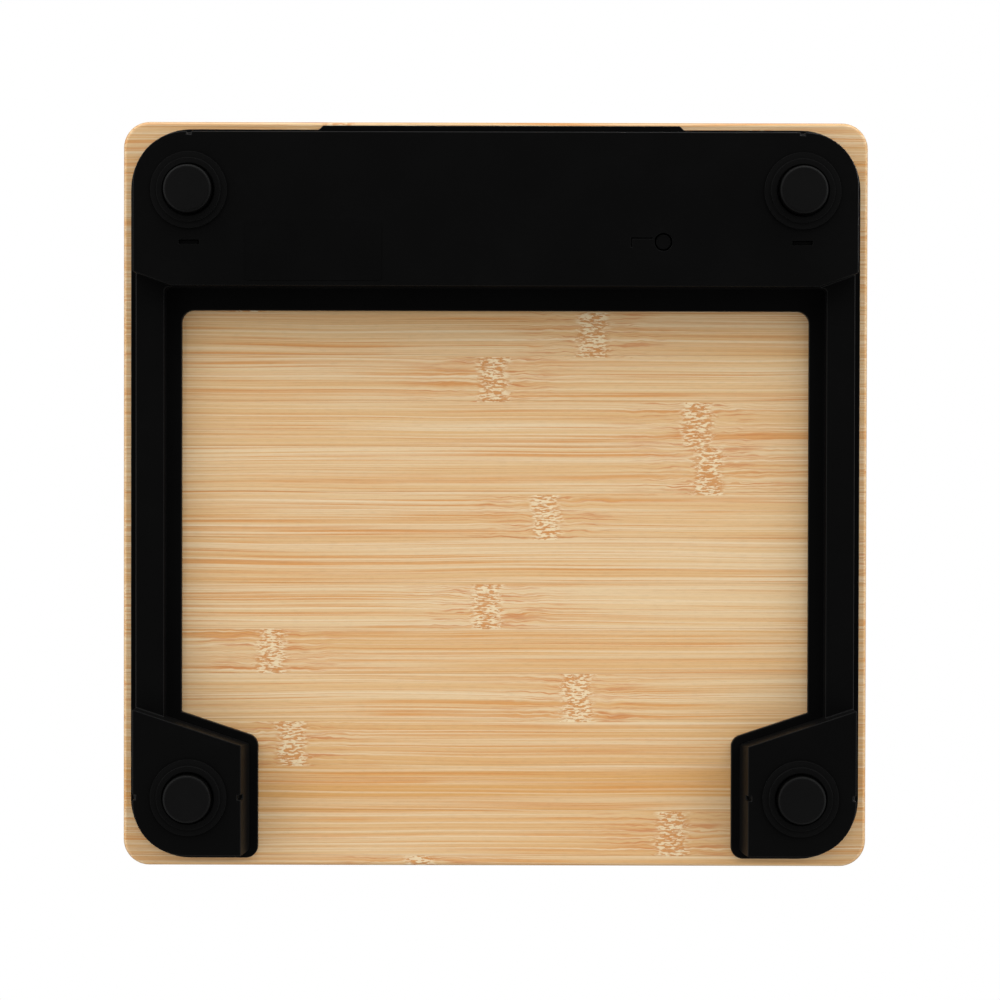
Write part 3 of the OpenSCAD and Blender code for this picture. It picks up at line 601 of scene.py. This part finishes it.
glass_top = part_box("lcd_glass")[1].z
digit_w = 5 * MM
digit_d = 10 * MM
digit_pitch = 8.6 * MM
digit_lean = 0.1
stroke_w = 1.1 * MM
stroke_gap = 0.25 * MM
stroke_t = 0.06 * MM
digit_count = 4
half_w = digit_w / 2
half_d = digit_d / 2
strokes = {
    "top": ((-half_w, half_d), (half_w, half_d)), "middle": ((-half_w, 0), (half_w, 0)),
    "bottom": ((-half_w, -half_d), (half_w, -half_d)),
    "upper_left": ((-half_w, 0), (-half_w, half_d)), "upper_right": ((half_w, 0), (half_w, half_d)),
    "lower_left": ((-half_w, -half_d), (-half_w, 0)), "lower_right": ((half_w, -half_d), (half_w, 0))}
lit_strokes = bmesh.new()
dim_strokes = bmesh.new()
for digit in range(digit_count):
    middle_x = lens_mid.x + (digit - (digit_count - 1) / 2) * digit_pitch
    for name, ends in strokes.items():
        start, end = (Vector(p) for p in ends)
        trim = (end - start).normalized() * (stroke_w / 2 + stroke_gap)
        line = [(middle_x + p.x + digit_lean * p.y, lens_mid.y + p.y) for p in (start + trim, end - trim)]
        lit_up = digit == digit_count - 1 and name != "middle"
        ribbon(lit_strokes if lit_up else dim_strokes, line, stroke_w, glass_top, glass_top + stroke_t)

lit_ink, glow = new_finish("lit_segments")
spot = glow.node("ShaderNodeTexCoord", output="Object") * (1 / MM)
shimmer = (spot * 2).noise(2)
surface(glow, Base_Color=shimmer.mix(tint("#dfe8ee"), tint("#f2f6f8")), Roughness=0.4 + 0.1 * shimmer,
        Emission_Color=shimmer.mix(tint("#dce9f2"), tint("#ffffff")), Emission_Strength=14.0)
piece("lit_digit", lit_strokes, lit_ink, shaded=False)
dim_ink, trace = new_finish("dim_segments")
spot = trace.node("ShaderNodeTexCoord", output="Object") * (1 / MM)
mottle = (spot * 2).noise(2)
surface(trace, Base_Color=mottle.mix(tint("#2b3430"), tint("#36403b")), Roughness=0.3 + 0.1 * mottle)
piece("dim_digits", dim_strokes, dim_ink, shaded=False)

guide, frost = new_finish("frosted_guide")
spot = frost.node("ShaderNodeTexCoord", output="Object") * (1 / MM)
dots = frost.node("ShaderNodeTexVoronoi", {}, {"Vector": spot, "Scale": 1.6})
surface(frost, dots, 0.02, Base_Color=dots.mix(tint("#eef1f4"), tint("#d5dade")), Roughness=0.3 + 0.2 * dots)
dressed(["backlight"], guide, 0.12)

striped, layer = new_finish("zebra_rubber")
spot = layer.node("ShaderNodeTexCoord", output="Object") * (1 / MM)
stripe = abs((spot.part(0) * 5).fraction() - 0.5).step(0.2, 0.3)
surface(layer, stripe, 0.01, Base_Color=stripe.mix(tint("#3b3b40"), tint("#b9b6ad")),
        Roughness=0.5 + 0.2 * stripe)
dressed(["zebra_strip"], striped, 0.05)


# ---------------------------------------------------------------- buttons
# Three moulded caps. The two on top have a dished face with a printed sign, an open ring with a
# stroke for power and a triangle over a bar for tare. The third, in the cover, is plain.
cap_black = black_mould("cap_black", "#1a1a1b", "#2c2c2e", 0.5, 0.006)
dressed(["power_button"], cap_black, 0.08, "power_key")
dressed(["tare_button"], cap_black, 0.08, "tare_key")
dressed(["unit_button"], housing_black, 0.2, "unit_key", 3)

print_white, ink = new_finish("printed_white")
spot = ink.node("ShaderNodeTexCoord", output="Object") * (1 / MM)
worn = (spot * 3).noise(3, 0.6)
surface(ink, worn, 0.004, Base_Color=worn.mix(tint("#b9bcc0"), tint("#e4e6e8")), Roughness=0.4 + 0.25 * worn)
sign_w = 0.45 * MM
sign_r = 2 * MM
sign_t = 0.03 * MM
dish_depth = 0.3 * MM
sign_z = lens_high.z - dish_depth + 0.02 * MM


def cap_middle(node):
    low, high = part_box(node)
    return (low + high) / 2


power_mid = cap_middle("power_button")
power_sign = bmesh.new()
gap = math.radians(38)
sweep = [math.pi / 2 + gap + (2 * math.pi - 2 * gap) * k / 40 for k in range(41)]
ribbon(power_sign, [(power_mid.x + sign_r * math.cos(t), power_mid.y + sign_r * math.sin(t)) for t in sweep],
       sign_w, sign_z, sign_z + sign_t)
ribbon(power_sign, [(power_mid.x, power_mid.y + reach * sign_r) for reach in (0.3, 1.2)],
       sign_w, sign_z, sign_z + sign_t)
piece("power_sign", power_sign, print_white, "power_key", shaded=False)

tare_mid = cap_middle("tare_button")
tare_sign = bmesh.new()
tips = [(-0.8, 0.9), (0.8, 0.9), (0, -0.3)]
for start, end in [*zip(tips, tips[1:] + tips[:1]), ((-0.8, -0.9), (0.8, -0.9))]:
    line = [(tare_mid.x + x * sign_r, tare_mid.y + y * sign_r) for x, y in (start, end)]
    ribbon(tare_sign, line, sign_w, sign_z, sign_z + sign_t)
piece("tare_sign", tare_sign, print_white, "tare_key", shaded=False)


# ---------------------------------------------------------------- switches
# Tact switches soldered to the circuit board, one under each cap: a black body with a stepped
# lid and a cream plunger that the cap presses.
dressed(["power_switch", "tare_switch", "unit_switch"],
        black_mould("switch_black", "#232325", "#38383b", 0.4), 0.1)
cream_stem, resin = new_finish("cream_stem")
spot = resin.node("ShaderNodeTexCoord", output="Object") * (1 / MM)
flow = (spot * (1, 1, 4)).noise(3)
surface(resin, flow, 0.01, Base_Color=flow.mix(tint("#d6c9a0"), tint("#e4d9b6")), Roughness=0.35 + 0.2 * flow)
for key in ("power", "tare", "unit"):
    dressed([key + "_stem"], cream_stem, 0.1, key + "_key")


# ---------------------------------------------------------------- circuit board
# Glass-fibre board with green solder mask over etched tracks, gold pads and two black chips,
# screwed under the tray. Small chip resistors and capacitors stand in rows beside the chips.
mask_green, etch = new_finish("solder_mask")
spot = etch.node("ShaderNodeTexCoord", output="Object") * (1 / MM)
lanes = abs((spot.part(1) / 1.3).fraction() - 0.5).step(0.12, 0.16)
columns = abs((spot.part(0) / 2.1).fraction() - 0.5).step(0.08, 0.12)
routed = (spot * (0.08, 0.3, 1)).noise(1).step(0.5, 0.52)
track = routed * (1 - lanes) + (1 - routed) * (1 - columns)
lands = etch.node("ShaderNodeTexVoronoi", {}, {"Vector": spot, "Scale": 0.28, "Randomness": 0.6})
pads = lands.step(0.13, 0.11)
mask = track.mix(tint("#0c4a24"), tint("#17693a"))
surface(etch, track, 0.03, Base_Color=pads.mix(mask, tint("#c8a24a")), Metallic=pads * 0.9,
        Roughness=0.35 - 0.1 * pads)
dressed(["main_pcb"], mask_green, 0.06)
dressed(["converter_chip", "controller_chip"],
        black_mould("chip_epoxy", "#1b1b1c", "#2a2a2c", 0.5), 0.05)

board_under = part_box("main_pcb")[0].z
ceramic, fired = new_finish("chip_ceramic")
spot = fired.node("ShaderNodeTexCoord", output="Object") * (1 / MM)
cap_end = (spot * 4).noise(2)
surface(fired, cap_end, 0.01, Base_Color=cap_end.mix(tint("#a98d68"), tint("#8a7050")),
        Roughness=0.4 + 0.2 * cap_end)
part_l = 1.6 * MM
part_w = 0.8 * MM
part_h = 0.5 * MM
part_pitch = 2.6 * MM
part_first_x = 26 * MM
part_count = 6
smalls = bmesh.new()
for row_y in (-80.5 * MM, -66 * MM):
    for k in range(part_count):
        row_x = part_first_x + part_pitch * k
        wall(smalls, [(rounded_loop((row_x, row_y), part_w - 2 * e, part_l - 2 * e, 0.1 * MM, 3), z)
                      for e, z in eased(board_under - part_h, board_under, 0.08 * MM, 2)])
bmesh.ops.holes_fill(smalls, edges=smalls.edges, sides=0)
piece("chip_parts", smalls, ceramic)


# ---------------------------------------------------------------- charging socket and battery
# Folded steel socket with a tongue, behind a slot in the front wall, and a lithium pouch cell
# on a foam pad. The pouch is crimped aluminium film, a little wrinkled.
def plated(name, dark, light, roughness, brushing=(0.2, 6, 6)):
    """Plated steel with fine brush lines and a few duller patches."""
    made, start = new_finish(name)
    spot = start.node("ShaderNodeTexCoord", output="Object") * (1 / MM)
    brushed = (spot * brushing).noise(3, 0.6)
    dull = (spot * 0.3).noise(3, 0.55).step(0.45, 0.65)
    surface(start, brushed, 0.01, Base_Color=(0.3 * dull + 0.5 * brushed).mix(tint(light), tint(dark)),
            Metallic=1 - 0.1 * dull, Roughness=roughness + 0.15 * brushed + 0.1 * dull)
    return made


dressed(["usb_socket"], plated("socket_plate", "#8e9093", "#c6c8ca", 0.25), 0.06)
pouch = plated("pouch_foil", "#9da0a4", "#d3d5d8", 0.32, (0.5, 0.5, 0.5))
dressed(["battery"], pouch, 0.5, steps=3)
dressed(["battery_pad"], black_mould("pad_foam", "#1f1f20", "#2f2f30", 0.8, 0.06), 0.05)


# ---------------------------------------------------------------- wires
# Flat bundles of three PVC-covered wires from each load cell, and a red and black pair from the
# battery. The ends are soldered to the circuit board.
def jacket(name, dark, light):
    """PVC wire cover, slightly uneven in gloss."""
    made, start = new_finish(name)
    spot = start.node("ShaderNodeTexCoord", output="Object") * (1 / MM)
    uneven = (spot * 1.5).noise(3)
    surface(start, uneven, 0.01, Base_Color=uneven.mix(tint(dark), tint(light)),
            Roughness=0.35 + 0.2 * uneven)
    return made


red_wire = jacket("red_jacket", "#93201a", "#b3332a")
white_wire = jacket("white_jacket", "#cfcdc6", "#e6e4de")
black_wire = jacket("black_jacket", "#151516", "#242426")
corners = ["front_left", "front_right", "rear_left", "rear_right"]
bundles_of = {corner + "_wires": [red_wire, white_wire, black_wire] for corner in corners}
bundles_of["battery_leads"] = [red_wire, black_wire]
for node, jackets in bundles_of.items():
    sheet = bmesh.new()
    sheet.from_mesh(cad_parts[node].data)
    bmesh.ops.remove_doubles(sheet, verts=sheet.verts, dist=0.002 * MM)
    solids = sorted(islands(sheet), key=lambda solid: min(v.co.x for v in solid))
    for number, solid in enumerate(solids):
        for vertex in solid:
            for face in vertex.link_faces:
                face.material_index = number % len(jackets)
    bundle = piece("finished_" + node, sheet, jackets, replaced=[node])
    rounded = bundle.modifiers.new("rounded", "SUBSURF")
    rounded.levels = rounded.render_levels = 1


# ---------------------------------------------------------------- screws
# Zinc-plated cross-head screws: countersunk ones hold the plate to the board, and pan heads
# hold the brackets and the circuit board.
zinc = plated("zinc_plate", "#7d7f82", "#bfc1c4", 0.3)
dressed(["board_screws", "bracket_screws", "pcb_screws"], zinc, 0.04)


# ---------------------------------------------------------------- feet
# A collar pressed into the cover round each foot, and in it a plunger with a soft rubber pad.
# The plunger bends the middle bar of a stamped load cell, held by a bracket and two screws.
ring_black = black_mould("ring_black", "#0d0d0d", "#161617", 0.3)
# The pads' rims get painted shade.
foot_rubber = black_mould("foot_rubber", "#0e0e0e", "#1a1919", 0.36, 0.02, painted_rim_shade=True)
plunger_black = black_mould("plunger_black", "#1c1c1d", "#2b2b2d", 0.4)
cell_steel = plated("cell_steel", "#85878a", "#bdbfc2", 0.28, (0.3, 8, 8))
sealant, gum = new_finish("white_sealant")
spot = gum.node("ShaderNodeTexCoord", output="Object") * (1 / MM)
lumps = (spot * 1.2).noise(3)
surface(gum, lumps, 0.05, Base_Color=lumps.mix(tint("#d9d8d2"), tint("#eeede8")),
        Roughness=0.35 + 0.2 * lumps)
for corner in corners:
    foot = corner + "_foot"
    dressed([corner + "_ring"], ring_black, 0.15)
    dressed([corner + "_pad"], foot_rubber, 0.05, foot)
    dressed([corner + "_plunger"], plunger_black, 0.12, foot)
    dressed([corner + "_bracket"], tray_black, 0.12)
    dressed([corner + "_load_cell"], cell_steel, 0.08)
    dressed([corner + "_gauge"], sealant, 0.03)
